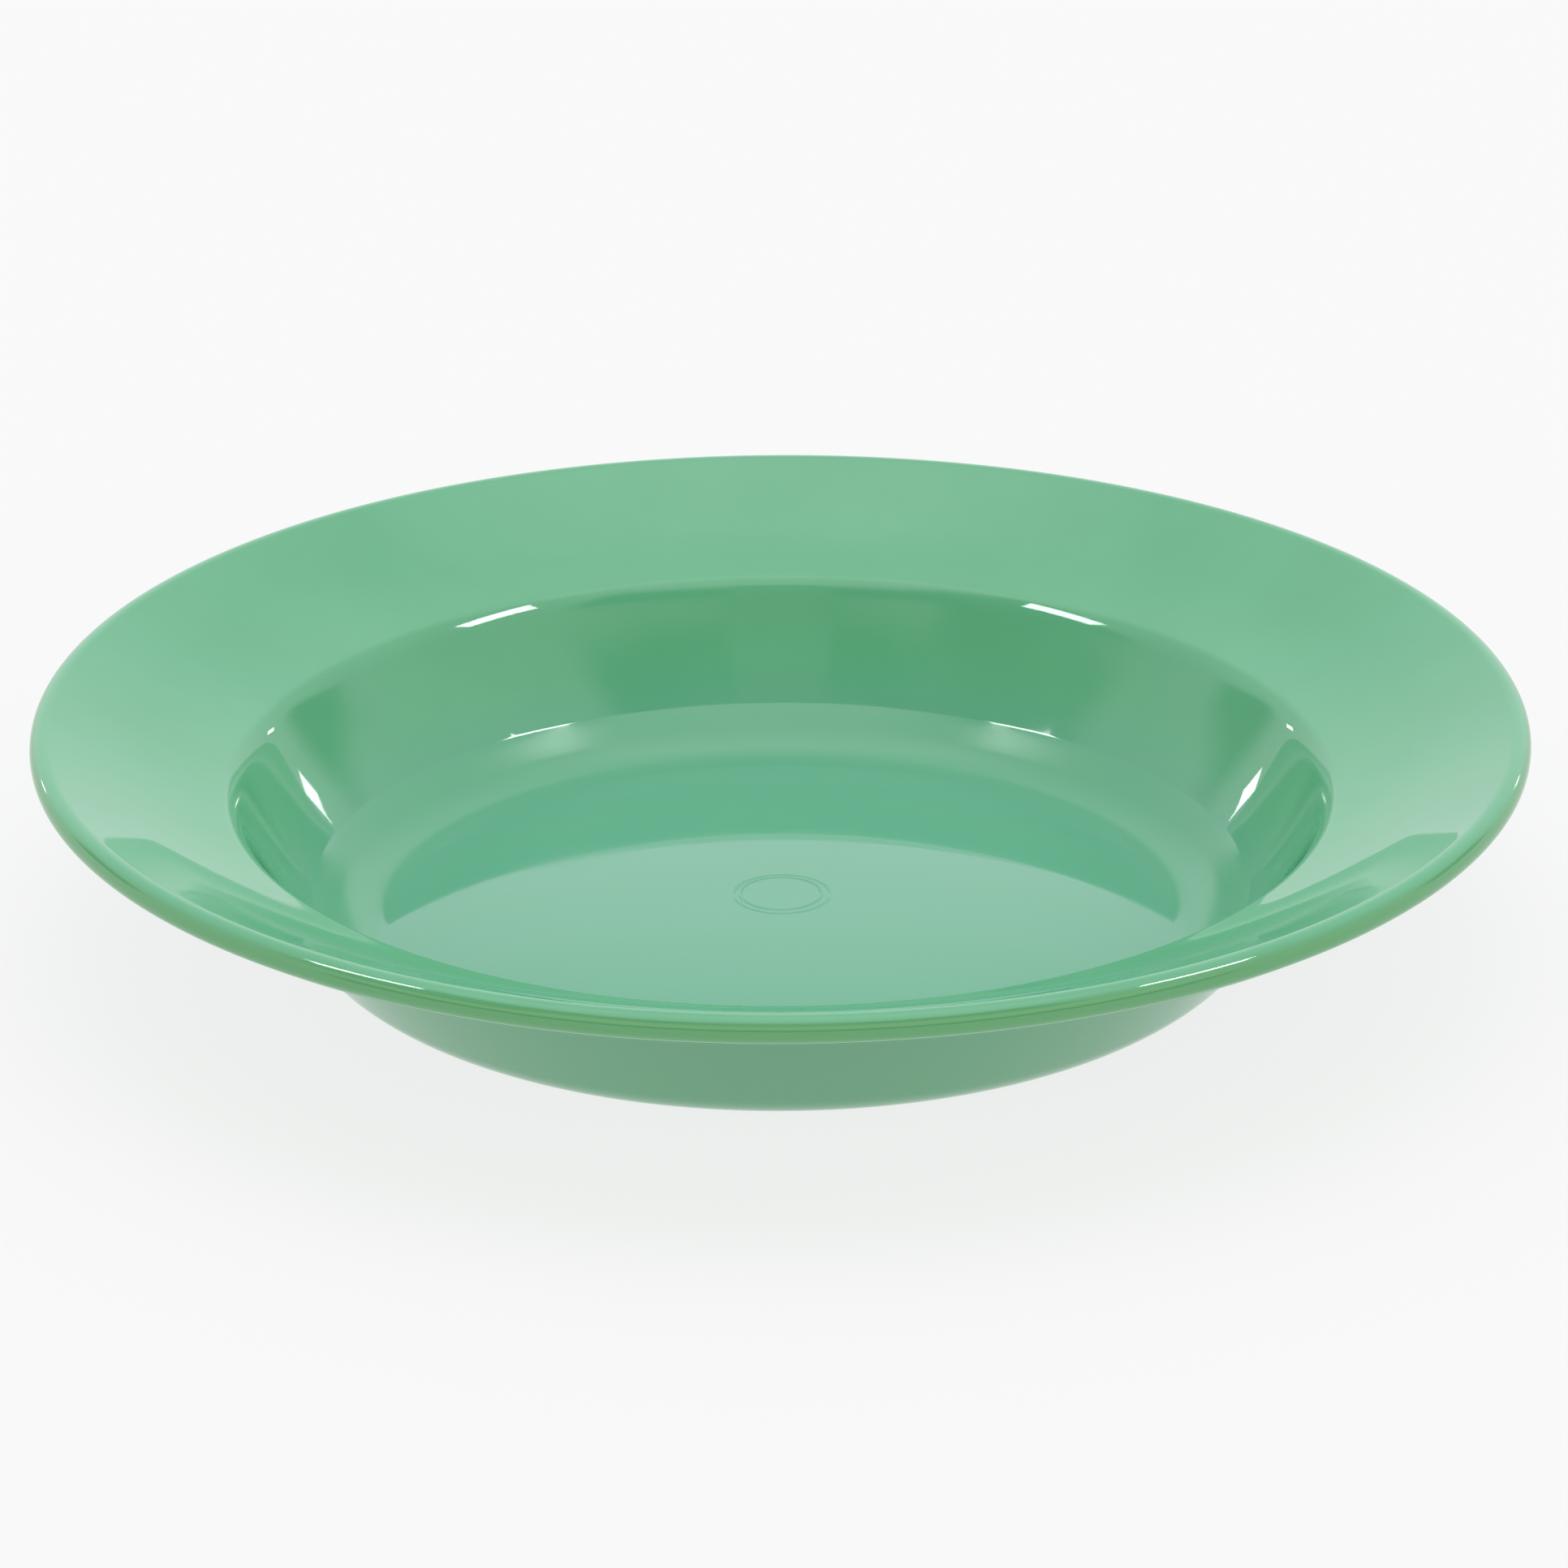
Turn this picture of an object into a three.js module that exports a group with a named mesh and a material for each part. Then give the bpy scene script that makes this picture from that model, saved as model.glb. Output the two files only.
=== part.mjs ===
// Wide-rimmed soup bowl: one thick moulding of hard, glossy plastic.
// Millimetres, +Z up. The origin is the centre of the face that the foot ring rests on.
import * as THREE from "three";

// Driving dimensions
const OUTER_RADIUS = 115; // outermost point of the lip
const HEIGHT = 36.4; // from the resting face to the crest of the lip
const LIP_TOP_ROUND = 2.2;
const LIP_UNDER_ROUND = 1.9;
const LIP_THICKNESS = 4.2; // crest of the lip to its underside
const FLANGE_OUTER_SLOPE = THREE.MathUtils.degToRad(25.5); // the flange falls towards the well
const FLANGE_INNER_SLOPE = THREE.MathUtils.degToRad(16.5);
const FLANGE_BEND_RADIUS = 95; // the flange's two slopes would meet here
const FLANGE_DISH_ROUND = 84;
const FLANGE_THICKNESS = 3;
const SHOULDER_RADIUS = 85.3; // where the flange and the brow of the wall would meet in a sharp edge
const SHOULDER_ROUND = 2.5;
const BROW_SLOPE = THREE.MathUtils.degToRad(44); // the brow leads from the shoulder into the wall
const BROW_FOOT_RADIUS = 83.9;
const BROW_ROUND = 10;
const WALL_TOP_SLOPE = THREE.MathUtils.degToRad(58); // inner face of the well's wall
const WALL_FOOT_SLOPE = THREE.MathUtils.degToRad(51);
const WALL_BEND_RADIUS = 78.6; // the wall's two slopes would meet here
const WALL_DISH_ROUND = 110;
const WALL_THICKNESS = 3;
const OUTER_WALL_SLOPE = THREE.MathUtils.degToRad(56);
const FLOOR_HEIGHT = 5.6; // top of the floor at the middle, where it is highest
const FLOOR_THICKNESS = 2.1;
const FLOOR_BEND_RADIUS = 33; // the floor's level middle and its falling edge would meet here
const FLOOR_FALL = THREE.MathUtils.degToRad(7);
const FLOOR_DOME_ROUND = 460;
const COVE_RADIUS = 72.6; // where the wall and the cove at its foot would meet
const COVE_SLOPE = THREE.MathUtils.degToRad(43);
const COVE_ROUND = 3;
const FLOOR_ROUND = 10;
const BASE_RADIUS = 66.5; // lowest point of the round under the wall
const BASE_ROUND = 10;
const FOOT_OUTER_RADIUS = 63;
const FOOT_WIDTH = 4;
const FOOT_HEIGHT = 0.7; // the foot ring stands this far below the base

const TURN_SEGMENTS = 72;
const ARC_STEP = THREE.MathUtils.degToRad(15);
const ARC_STRIDE = 20; // longest step along a wide arc

const corner = (radius, height, round = 0) => ({ at: new THREE.Vector2(radius, height), round });

// A straight line through a point, rising outwards at a slope, or falling where the slope is negative.
function slopedLine(radius, height, slope) {
  return {
    heightAt: (r) => height + (r - radius) * Math.tan(slope),
    radiusAt: (z) => radius + (z - height) / Math.tan(slope),
  };
}

// The radius at which two sloped lines cross, each given as its height at the axis and its slope.
function crossingRadius(first, firstSlope, second, secondSlope) {
  return (second.heightAt(0) - first.heightAt(0)) / (Math.tan(firstSlope) - Math.tan(secondSlope));
}

// Replaces each rounded corner of an open outline with points on the arc that fits it.
function roundedOutline(corners) {
  const points = [];
  corners.forEach(({ at, round }, index) => {
    if (!round) {
      points.push(at.clone());
      return;
    }
    const back = corners[index - 1].at.clone().sub(at).normalize();
    const onward = corners[index + 1].at.clone().sub(at).normalize();
    const half = Math.acos(THREE.MathUtils.clamp(back.dot(onward), -1, 1)) / 2;
    const centre = back.clone().add(onward).normalize().multiplyScalar(round / Math.sin(half)).add(at);
    const start = back.multiplyScalar(round / Math.tan(half)).add(at).sub(centre);
    const end = onward.multiplyScalar(round / Math.tan(half)).add(at).sub(centre);
    const turn = Math.atan2(start.cross(end), start.dot(end));
    const steps = Math.ceil(Math.abs(turn) * Math.max(1 / ARC_STEP, round / ARC_STRIDE));
    for (let step = 0; step <= steps; step += 1) {
      points.push(start.clone().rotateAround(new THREE.Vector2(), (turn * step) / steps).add(centre));
    }
  });
  return points;
}

// Half section of the moulding, from the axis under the floor, out round the lip and back to the axis.
function bowlSection() {
  const crestRadius = OUTER_RADIUS - LIP_TOP_ROUND;
  const crestTangentRadius = crestRadius - LIP_TOP_ROUND * Math.sin(FLANGE_OUTER_SLOPE);
  const crestTangentHeight = HEIGHT - LIP_TOP_ROUND * (1 - Math.cos(FLANGE_OUTER_SLOPE));
  const outerFlange = slopedLine(crestTangentRadius, crestTangentHeight, FLANGE_OUTER_SLOPE);
  const flangeBendHeight = outerFlange.heightAt(FLANGE_BEND_RADIUS);
  const innerFlange = slopedLine(FLANGE_BEND_RADIUS, flangeBendHeight, FLANGE_INNER_SLOPE);
  const flangeDrop = FLANGE_THICKNESS / Math.cos(FLANGE_OUTER_SLOPE);
  const underFlange = slopedLine(crestTangentRadius, crestTangentHeight - flangeDrop, FLANGE_OUTER_SLOPE);
  const underBendHeight = flangeBendHeight - flangeDrop;
  const underInnerFlange = slopedLine(FLANGE_BEND_RADIUS, underBendHeight, FLANGE_INNER_SLOPE);
  const shoulderHeight = innerFlange.heightAt(SHOULDER_RADIUS);
  const brow = slopedLine(SHOULDER_RADIUS, shoulderHeight, BROW_SLOPE);
  const browFootHeight = brow.heightAt(BROW_FOOT_RADIUS);
  const upperWall = slopedLine(BROW_FOOT_RADIUS, browFootHeight, WALL_TOP_SLOPE);
  const wallBendHeight = upperWall.heightAt(WALL_BEND_RADIUS);
  const lowerWall = slopedLine(WALL_BEND_RADIUS, wallBendHeight, WALL_FOOT_SLOPE);
  const coveHeight = lowerWall.heightAt(COVE_RADIUS);
  const cove = slopedLine(COVE_RADIUS, coveHeight, COVE_SLOPE);
  const floorLine = slopedLine(FLOOR_BEND_RADIUS, FLOOR_HEIGHT, -FLOOR_FALL);
  const floorEdgeRadius = crossingRadius(cove, COVE_SLOPE, floorLine, -FLOOR_FALL);
  const underFloorHeight = FLOOR_HEIGHT - FLOOR_THICKNESS;
  const underFloor = slopedLine(FLOOR_BEND_RADIUS, underFloorHeight, -FLOOR_FALL);
  const outerWall = slopedLine(
    BASE_RADIUS + BASE_ROUND * Math.sin(OUTER_WALL_SLOPE),
    FOOT_HEIGHT + BASE_ROUND * (1 - Math.cos(OUTER_WALL_SLOPE)),
    OUTER_WALL_SLOPE,
  );
  const underShoulderRadius = crossingRadius(
    outerWall,
    OUTER_WALL_SLOPE,
    underInnerFlange,
    FLANGE_INNER_SLOPE,
  );
  const underShoulderHeight = outerWall.heightAt(underShoulderRadius);
  const lipUnderHeight = HEIGHT - LIP_THICKNESS;
  const footInnerRadius = FOOT_OUTER_RADIUS - FOOT_WIDTH;

  return roundedOutline([
    corner(0, underFloorHeight),
    corner(FLOOR_BEND_RADIUS, underFloorHeight, FLOOR_DOME_ROUND),
    corner(footInnerRadius, underFloor.heightAt(footInnerRadius)),
    corner(footInnerRadius, 0),
    corner(FOOT_OUTER_RADIUS, 0),
    corner(FOOT_OUTER_RADIUS, FOOT_HEIGHT),
    corner(outerWall.radiusAt(FOOT_HEIGHT), FOOT_HEIGHT, BASE_ROUND),
    corner(underShoulderRadius, underShoulderHeight, SHOULDER_ROUND + WALL_THICKNESS),
    corner(FLANGE_BEND_RADIUS, underBendHeight, FLANGE_DISH_ROUND),
    corner(underFlange.radiusAt(lipUnderHeight), lipUnderHeight),
    corner(OUTER_RADIUS, lipUnderHeight, LIP_UNDER_ROUND),
    corner(OUTER_RADIUS, outerFlange.heightAt(OUTER_RADIUS), LIP_TOP_ROUND),
    corner(FLANGE_BEND_RADIUS, flangeBendHeight, FLANGE_DISH_ROUND),
    corner(SHOULDER_RADIUS, shoulderHeight, SHOULDER_ROUND),
    corner(BROW_FOOT_RADIUS, browFootHeight, BROW_ROUND),
    corner(WALL_BEND_RADIUS, wallBendHeight, WALL_DISH_ROUND),
    corner(COVE_RADIUS, coveHeight, COVE_ROUND),
    corner(floorEdgeRadius, floorLine.heightAt(floorEdgeRadius), FLOOR_ROUND),
    corner(FLOOR_BEND_RADIUS, FLOOR_HEIGHT, FLOOR_DOME_ROUND),
    corner(0, FLOOR_HEIGHT),
  ]);
}

// Turns the half section about +Z. The lathe turns about +Y, so the result is stood upright.
function bowlBody() {
  const geometry = new THREE.LatheGeometry(bowlSection(), TURN_SEGMENTS);
  geometry.rotateX(Math.PI / 2);
  const plastic = new THREE.MeshStandardMaterial({ color: 0x68b187, roughness: 0.08, metalness: 0 });
  const mesh = new THREE.Mesh(geometry, plastic);
  mesh.name = "bowl_body";
  return mesh;
}

const bowl = new THREE.Group();
bowl.add(bowlBody());

export default bowl;
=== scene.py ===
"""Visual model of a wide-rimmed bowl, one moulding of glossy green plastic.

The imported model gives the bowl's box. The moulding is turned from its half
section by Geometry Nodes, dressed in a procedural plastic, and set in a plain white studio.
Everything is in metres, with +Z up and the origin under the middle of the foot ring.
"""

import logging
import math
from dataclasses import dataclass, field
from enum import Enum
from itertools import pairwise

import bpy
from mathutils import Matrix, Vector


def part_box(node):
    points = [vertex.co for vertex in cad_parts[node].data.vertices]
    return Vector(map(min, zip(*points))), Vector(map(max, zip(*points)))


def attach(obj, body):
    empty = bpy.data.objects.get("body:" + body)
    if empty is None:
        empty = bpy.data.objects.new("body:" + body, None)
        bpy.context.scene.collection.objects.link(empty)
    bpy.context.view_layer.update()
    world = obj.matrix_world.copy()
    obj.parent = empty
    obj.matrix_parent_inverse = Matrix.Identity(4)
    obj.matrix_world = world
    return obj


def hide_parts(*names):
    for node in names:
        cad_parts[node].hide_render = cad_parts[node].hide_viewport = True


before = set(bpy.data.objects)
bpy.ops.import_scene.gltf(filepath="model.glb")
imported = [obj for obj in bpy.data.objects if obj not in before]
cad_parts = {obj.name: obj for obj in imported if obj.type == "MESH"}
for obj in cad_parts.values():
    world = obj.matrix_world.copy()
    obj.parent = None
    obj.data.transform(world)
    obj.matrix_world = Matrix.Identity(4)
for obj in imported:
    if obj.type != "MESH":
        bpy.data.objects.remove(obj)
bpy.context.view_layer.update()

BODY = "root"
BOWL_NODE = "bowl_body"
MM = 0.001
MICRON = 0.000001

Colour = tuple[float, float, float, float]
Value = float | bpy.types.NodeSocket

log = logging.getLogger("bowl")


class Side(Enum):
    """Which side of the bowl a studio light stands on, as the sign of X."""

    LEFT = -1
    RIGHT = 1


@dataclass(frozen=True)
class Corner:
    """One corner of the moulding's half section.

    Attributes:
        radius: Distance from the axis.
        height: Height above the resting face.
        round: Radius of the arc that replaces the corner, or 0 for a sharp one.
    """

    radius: float
    height: float
    round: float = 0.0

    @property
    def at(self) -> Vector:
        """The corner as a 2-D point."""
        return Vector((self.radius, self.height))


@dataclass(frozen=True)
class Slope:
    """A straight line in the half section, rising outwards.

    Attributes:
        radius: Radius of a point on the line.
        height: Height of that point.
        angle: Angle above the horizontal, in degrees.
    """

    radius: float
    height: float
    angle: float

    @property
    def rise(self) -> float:
        """Height gained for each unit of radius."""
        return math.tan(math.radians(self.angle))

    def height_at(self, radius: float) -> float:
        """The line's height at a radius."""
        return self.height + (radius - self.radius) * self.rise

    def radius_at(self, height: float) -> float:
        """The line's radius at a height."""
        return self.radius + (height - self.height) / self.rise

    def crossing(self, other: "Slope") -> tuple[float, float]:
        """Finds where two lines cross.

        Args:
            other: The other line.

        Returns:
            The radius and the height of the crossing.
        """
        radius = (other.height_at(0.0) - self.height_at(0.0)) / (self.rise - other.rise)
        return radius, self.height_at(radius)


class Nodes:
    """Makes and links the nodes of one tree."""

    def __init__(self, tree: bpy.types.NodeTree) -> None:
        """Keeps the tree that the nodes go in."""
        self.tree = tree

    def add(self, kind: str, inputs: dict | None = None, **settings: object) -> bpy.types.Node:
        """Adds one node.

        Args:
            kind: The node's type name.
            inputs: Socket index or name to a value, or to the output socket that feeds it.
            settings: Properties of the node.

        Returns:
            The new node.
        """
        node = self.tree.nodes.new(kind)
        for name, value in settings.items():
            setattr(node, name, value)
        for key, value in (inputs or {}).items():
            if isinstance(value, bpy.types.NodeSocket):
                self.tree.links.new(value, node.inputs[key])
            else:
                node.inputs[key].default_value = value
        return node

    def math(self, operation: str, *values: Value) -> bpy.types.NodeSocket:
        """Adds a Math node.

        Args:
            operation: The node's operation.
            values: Its inputs, as numbers or output sockets.

        Returns:
            The node's output socket.
        """
        return self.add("ShaderNodeMath", dict(enumerate(values)), operation=operation).outputs[0]

    def ramp(
        self,
        value: Value,
        start: float,
        end: float,
        low: float,
        high: float,
    ) -> bpy.types.NodeSocket:
        """Maps a value smoothly from one range to another.

        Args:
            value: The value, as a number or an output socket.
            start: Value that gives low.
            end: Value that gives high.
            low: Result at start.
            high: Result at end.

        Returns:
            The mapped value's output socket.
        """
        inputs = {"Value": value, "From Min": start, "From Max": end, "To Min": low, "To Max": high}
        return self.add("ShaderNodeMapRange", inputs, interpolation_type="SMOOTHSTEP").outputs["Result"]

    def mix(
        self,
        factor: Value,
        first: Colour | bpy.types.NodeSocket,
        second: Colour,
    ) -> bpy.types.NodeSocket:
        """Mixes two colours.

        Args:
            factor: How much of the second colour to use.
            first: A colour, or the output socket of one.
            second: The other colour.

        Returns:
            The mixed colour's output socket.
        """
        inputs = {0: factor, 6: first, 7: second}
        return self.add("ShaderNodeMix", inputs, data_type="RGBA").outputs[2]

    def split(self, vector: bpy.types.NodeSocket) -> bpy.types.bpy_prop_collection:
        """Splits a vector into outputs named X, Y and Z."""
        return self.add("ShaderNodeSeparateXYZ", {0: vector}).outputs


@dataclass(frozen=True)
class Noise:
    """One layer of noise.

    Attributes:
        scale: How many of its features there are across a metre.
        detail: How many finer octaves it has.
        roughness: How strong the finer octaves are.
        distortion: How far it is swirled.
    """

    scale: float
    detail: float
    roughness: float = 0.5
    distortion: float = 0.0

    def add(self, nodes: Nodes, place: bpy.types.NodeSocket) -> bpy.types.NodeSocket:
        """Adds the noise to a tree.

        Args:
            nodes: The tree's node maker.
            place: Coordinates.

        Returns:
            The output socket of the noise, from 0 to 1.
        """
        inputs = {
            "Vector": place,
            "Scale": self.scale,
            "Detail": self.detail,
            "Roughness": self.roughness,
            "Distortion": self.distortion,
        }
        return nodes.add("ShaderNodeTexNoise", inputs).outputs["Fac"]


@dataclass(frozen=True)
class GlossyPlastic:
    """Hard, opaque moulding plastic with a polished surface.

    Attributes:
        name: Name of the material.
        base: Linear colour of the plastic.
        shade: Linear colour where the pigment is a little denser.
        painted_well_light: Linear colour painted low in the well on faces that look up, a bluer painted
            light tint standing in for light that passes through the plastic.
        painted_cove_light: Linear colour painted in the cove at the foot of the wall, a painted light tint
            standing in for light that passes through the wall.
        edge: Linear colour painted on the outside of the lip, painted shade with a warm cast, darker and
            yellower than the plastic.
        under: Linear colour painted on the faces that look down, a darker painted shade.
        well_depth: Heights between which the painted light tint low in the well fades back to the base
            colour.
        cove_start: Radii between which the cove begins.
        cove_end: Radii between which the cove ends.
        lip_start: Radii between which the painted shade on the outside of the lip begins.
        turn_over: How far up a face looks, or down, by the time it counts in full.
        clouds: Clouds of denser pigment.
        cloud_range: Noise between which the colour turns from base to shade.
        fleck_scale: Specks of pigment across a metre.
        fleck_size: Radius of a speck, against their spacing.
        fleck_strength: How much of the denser colour a speck shows.
        polish: Roughness of the polished surface.
        haze: Roughness where it has been wiped and handled.
        wiping: Patches of that haze.
        wiping_range: Noise between which polish turns to haze.
        rubbed: Roughness of the cove, where spoons and cloths rub.
        scratched: Roughness along a hairline scratch.
        scuff: Roughness of the face that slides on tables.
        scuff_height: Heights between which the scuffing fades out.
        ior: Index of refraction.
        ripple: Ripple left by the mould.
        ripple_height: Height of that ripple.
        peel: Fine peel of the skin.
        peel_height: Height of the peel.
        scratch_lines: Noise whose middle value draws the scratches.
        scratch_stretch: Scale of that noise along, across and through a scratch.
        scratch_turns: Directions that scratches run in, in degrees.
        scratch_width: Width of a scratch, as a share of the noise's range.
        scratch_depth: Depth of a scratch.
        scratch_patches: Where there are scratches at all.
        scratch_range: Noise between which the scratches appear.
    """

    name: str = "green_moulded_plastic"
    base: Colour = (0.122, 0.452, 0.240, 1.0)
    shade: Colour = (0.113, 0.436, 0.229, 1.0)
    painted_well_light: Colour = (0.119, 0.426, 0.260, 1.0)
    painted_cove_light: Colour = (0.112, 0.428, 0.242, 1.0)
    edge: Colour = (0.114, 0.382, 0.156, 1.0)
    under: Colour = (0.110, 0.362, 0.193, 1.0)
    well_depth: tuple[float, float] = (6.0 * MM, 16.0 * MM)
    cove_start: tuple[float, float] = (60.0 * MM, 64.0 * MM)
    cove_end: tuple[float, float] = (71.0 * MM, 73.5 * MM)
    lip_start: tuple[float, float] = (113.8 * MM, 114.8 * MM)
    turn_over: float = 0.3
    clouds: Noise = Noise(38.0, 3.0, 0.55)
    cloud_range: tuple[float, float] = (0.35, 0.65)
    fleck_scale: float = 95.0
    fleck_size: float = 0.018
    fleck_strength: float = 0.35
    polish: float = 0.030
    haze: float = 0.070
    wiping: Noise = Noise(55.0, 5.0, 0.6, 0.8)
    wiping_range: tuple[float, float] = (0.42, 0.72)
    rubbed: float = 0.19
    scratched: float = 0.15
    scuff: float = 0.38
    scuff_height: tuple[float, float] = (0.15 * MM, 0.6 * MM)
    ior: float = 1.60
    ripple: Noise = Noise(70.0, 1.0)
    ripple_height: float = 7.0 * MICRON
    peel: Noise = Noise(620.0, 1.0)
    peel_height: float = 0.35 * MICRON
    scratch_lines: Noise = Noise(1.0, 0.0)
    scratch_stretch: tuple[float, float, float] = (9.0, 420.0, 60.0)
    scratch_turns: tuple[float, ...] = (18.0, -37.0, 74.0)
    scratch_width: float = 0.006
    scratch_depth: float = 0.9 * MICRON
    scratch_patches: Noise = Noise(55.0, 2.0)
    scratch_range: tuple[float, float] = (0.50, 0.62)

    def material(self) -> bpy.types.Material:
        """Builds the material.

        Returns:
            The new material.
        """
        material = bpy.data.materials.new(self.name)
        material.use_nodes = True
        nodes = Nodes(material.node_tree)
        shader = material.node_tree.nodes["Principled BSDF"]
        shader.inputs["IOR"].default_value = self.ior
        place = nodes.add("ShaderNodeTexCoord").outputs["Object"]
        cove = self._cove(nodes, place)
        colour = self._paint_light_and_shade(nodes, place, cove, self._pigment(nodes, place))
        scratches = self._scratches(nodes, place)
        material.node_tree.links.new(colour, shader.inputs["Base Color"])
        material.node_tree.links.new(self._wear(nodes, place, cove, scratches), shader.inputs["Roughness"])
        material.node_tree.links.new(self._relief(nodes, place, scratches), shader.inputs["Normal"])
        return material

    def _pigment(self, nodes: Nodes, place: bpy.types.NodeSocket) -> bpy.types.NodeSocket:
        """Adds the slight unevenness of the colour.

        Args:
            nodes: The material's node maker.
            place: Object coordinates.

        Returns:
            The colour's output socket.
        """
        cloud = nodes.ramp(self.clouds.add(nodes, place), *self.cloud_range, 0.0, 1.0)
        fleck = nodes.add("ShaderNodeTexVoronoi", {"Vector": place, "Scale": self.fleck_scale})
        speck = nodes.ramp(fleck.outputs["Distance"], 0.0, self.fleck_size, self.fleck_strength, 0.0)
        return nodes.mix(nodes.math("MAXIMUM", cloud, speck), self.base, self.shade)

    @staticmethod
    def _reach(nodes: Nodes, place: bpy.types.NodeSocket) -> bpy.types.NodeSocket:
        """Measures the distance from the bowl's axis."""
        part = nodes.split(place)
        flat = nodes.add("ShaderNodeCombineXYZ", {"X": part["X"], "Y": part["Y"]}).outputs[0]
        return nodes.add("ShaderNodeVectorMath", {0: flat}, operation="LENGTH").outputs["Value"]

    @staticmethod
    def _facing(nodes: Nodes) -> bpy.types.NodeSocket:
        """Measures how far the surface looks up, from -1 to 1."""
        return nodes.split(nodes.add("ShaderNodeTexCoord").outputs["Normal"])["Z"]

    def _cove(self, nodes: Nodes, place: bpy.types.NodeSocket) -> bpy.types.NodeSocket:
        """Marks the cove at the foot of the wall, inside the well.

        Args:
            nodes: The material's node maker.
            place: Object coordinates.

        Returns:
            The output socket of a mask that is 1 in the cove.
        """
        reach = self._reach(nodes, place)
        rising = nodes.ramp(reach, *self.cove_start, 0.0, 1.0)
        falling = nodes.ramp(reach, *self.cove_end, 1.0, 0.0)
        upward = nodes.ramp(self._facing(nodes), 0.0, self.turn_over, 0.0, 1.0)
        return nodes.math("MULTIPLY", nodes.math("MULTIPLY", rising, falling), upward)

    def _paint_light_and_shade(
        self,
        nodes: Nodes,
        place: bpy.types.NodeSocket,
        cove: bpy.types.NodeSocket,
        colour: bpy.types.NodeSocket,
    ) -> bpy.types.NodeSocket:
        """Paints light and shade into the colour: painted light low in the well and in the cove, painted
        shade underneath and round the outside of the lip.

        Args:
            nodes: The material's node maker.
            place: Object coordinates.
            cove: Mask of the cove.
            colour: The colour so far.

        Returns:
            The tinted colour's output socket.
        """
        facing = self._facing(nodes)
        upward = nodes.ramp(facing, 0.0, self.turn_over, 0.0, 1.0)
        downward = nodes.ramp(facing, -self.turn_over, 0.0, 1.0, 0.0)
        low = nodes.ramp(nodes.split(place)["Z"], *self.well_depth, 1.0, 0.0)
        lip = nodes.ramp(self._reach(nodes, place), *self.lip_start, 0.0, 1.0)
        # Painted light: a bluer tint low in the well, on faces that look up, stands in for light that passes
        # through the floor.
        colour = nodes.mix(nodes.math("MULTIPLY", upward, low), colour, self.painted_well_light)
        # Painted light: a tint in the cove stands in for light that passes through the wall.
        colour = nodes.mix(cove, colour, self.painted_cove_light)
        # Painted shade: the faces that look down are darkened.
        colour = nodes.mix(downward, colour, self.under)
        # Painted shade with a warm cast on the outside of the lip.
        return nodes.mix(lip, colour, self.edge)

    def _scratches(self, nodes: Nodes, place: bpy.types.NodeSocket) -> bpy.types.NodeSocket:
        """Draws hairline scratches that come and go, in a few directions.

        Args:
            nodes: The material's node maker.
            place: Object coordinates.

        Returns:
            The output socket of a mask that is 1 on a scratch.
        """
        mask: Value = 0.0
        for turn in self.scratch_turns:
            rotation = (0.0, 0.0, math.radians(turn))
            stretch = {"Vector": place, "Rotation": rotation, "Scale": self.scratch_stretch}
            noise = self.scratch_lines.add(nodes, nodes.add("ShaderNodeMapping", stretch).outputs[0])
            offset = nodes.math("ABSOLUTE", nodes.math("SUBTRACT", noise, 0.5))
            mask = nodes.math("MAXIMUM", mask, nodes.ramp(offset, 0.0, self.scratch_width, 1.0, 0.0))
        patches = nodes.ramp(self.scratch_patches.add(nodes, place), *self.scratch_range, 0.0, 1.0)
        return nodes.math("MULTIPLY", mask, patches)

    def _wear(
        self,
        nodes: Nodes,
        place: bpy.types.NodeSocket,
        cove: bpy.types.NodeSocket,
        scratches: bpy.types.NodeSocket,
    ) -> bpy.types.NodeSocket:
        """Adds wiped haze, the rubbed cove, scratches, and scuffs where the foot ring slides.

        Args:
            nodes: The material's node maker.
            place: Object coordinates.
            cove: Mask of the cove.
            scratches: Mask of the scratches.

        Returns:
            The roughness's output socket.
        """
        wiped = self.wiping.add(nodes, place)
        handled = nodes.ramp(wiped, *self.wiping_range, self.polish, self.haze)
        used = nodes.math("MAXIMUM", handled, nodes.math("MULTIPLY", cove, self.rubbed))
        cut = nodes.math("MULTIPLY", scratches, self.scratched)
        foot = nodes.ramp(nodes.split(place)["Z"], *self.scuff_height, self.scuff, 0.0)
        return nodes.math("MAXIMUM", nodes.math("MAXIMUM", used, cut), foot)

    def _relief(
        self,
        nodes: Nodes,
        place: bpy.types.NodeSocket,
        scratches: bpy.types.NodeSocket,
    ) -> bpy.types.NodeSocket:
        """Adds the mould's ripple, the skin's fine peel and the scratches.

        Args:
            nodes: The material's node maker.
            place: Object coordinates.
            scratches: Mask of the scratches.

        Returns:
            The normal's output socket.
        """
        ripple = nodes.math("MULTIPLY", self.ripple.add(nodes, place), self.ripple_height)
        peel = nodes.math("MULTIPLY", self.peel.add(nodes, place), self.peel_height)
        cut = nodes.math("MULTIPLY", scratches, self.scratch_depth)
        height = nodes.math("SUBTRACT", nodes.math("ADD", ripple, peel), cut)
        bump = nodes.add("ShaderNodeBump", {"Strength": 1.0, "Distance": 1.0, "Height": height})
        return bump.outputs["Normal"]


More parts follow.
